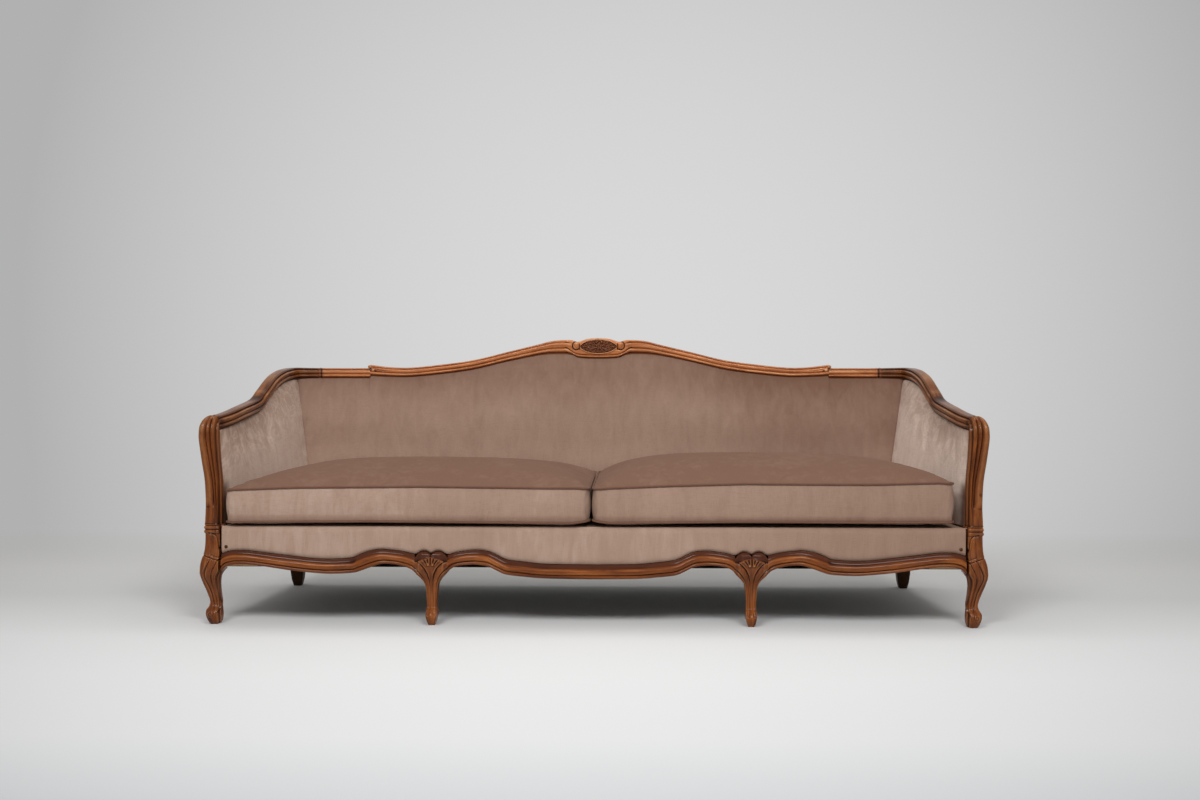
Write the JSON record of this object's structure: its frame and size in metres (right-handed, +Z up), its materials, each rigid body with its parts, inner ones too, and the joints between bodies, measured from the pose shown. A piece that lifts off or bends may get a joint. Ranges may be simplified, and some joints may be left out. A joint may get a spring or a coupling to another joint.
{
  "type": "cabriole sofa",
  "caption": "Three-seat cabriole sofa with a carved camel-back frame, sloping arms, cabriole legs and loose crowned seat cushions.",
  "frame": {"origin": "on the floor, below the middle of the sofa's outline", "axes": "+X along the seat towards its right-hand end as seen from the front, the front faces -Y, +Z up"},
  "size_m": [2.296, 0.7776, 0.848],
  "materials": {
    "carved_walnut": "satin stained and varnished",
    "crest_walnut": "satin stained and varnished, worn lighter",
    "beech": "plain",
    "velvet": "cut pile velvet",
    "hessian": "plain weave",
    "dust_cloth": "matt",
    "spring_steel": "oiled wire",
    "screw_steel": "bright",
    "nail_bronze": "antiqued"
  },
  "bodies": {
    "frame": {"front_stile_left": "carved_walnut", "front_stile_right": "carved_walnut", "mid_leg_left": "carved_walnut", "mid_leg_right": "carved_walnut", "rear_stile_left": "carved_walnut", "rear_stile_right": "carved_walnut", "front_rail_left": "carved_walnut", "front_rail_centre": "carved_walnut", "front_rail_right": "carved_walnut", "side_rail_left": "carved_walnut", "side_rail_right": "carved_walnut", "rear_seat_rail": "beech", "arm_rail_left": "carved_walnut", "arm_rail_right": "carved_walnut", "top_rail_left": "crest_walnut", "top_rail_centre": "crest_walnut", "top_rail_right": "crest_walnut", "seat_cross_rails": "beech", "corner_blocks": "beech", "corner_block_screws": "screw_steel", "back_lower_rail": "beech", "back_uprights": "beech", "arm_base_rails": "beech", "back_webbing": "hessian", "seat_springs": "spring_steel", "spring_clips": "spring_steel", "spring_hessian": "hessian", "seat_platform": "velvet", "front_border": "velvet", "border_nails": "nail_bronze", "back_pad": "velvet", "arm_pad_left": "velvet", "arm_pad_right": "velvet", "outside_back": "velvet", "outside_arm_left": "velvet", "outside_arm_right": "velvet", "dust_cover": "dust_cloth"},
    "cushion_left": {"seat_cushion_left": "velvet"},
    "cushion_right": {"seat_cushion_right": "velvet"}
  },
  "joints": [
    {"name": "cushion_left_lift", "type": "slide", "parent": "frame", "child": "cushion_left", "axis": [0, 0, 1], "range_m": [0, 0.35]},
    {"name": "cushion_right_lift", "type": "slide", "parent": "frame", "child": "cushion_right", "axis": [0, 0, 1], "range_m": [0, 0.35]}
  ]
}
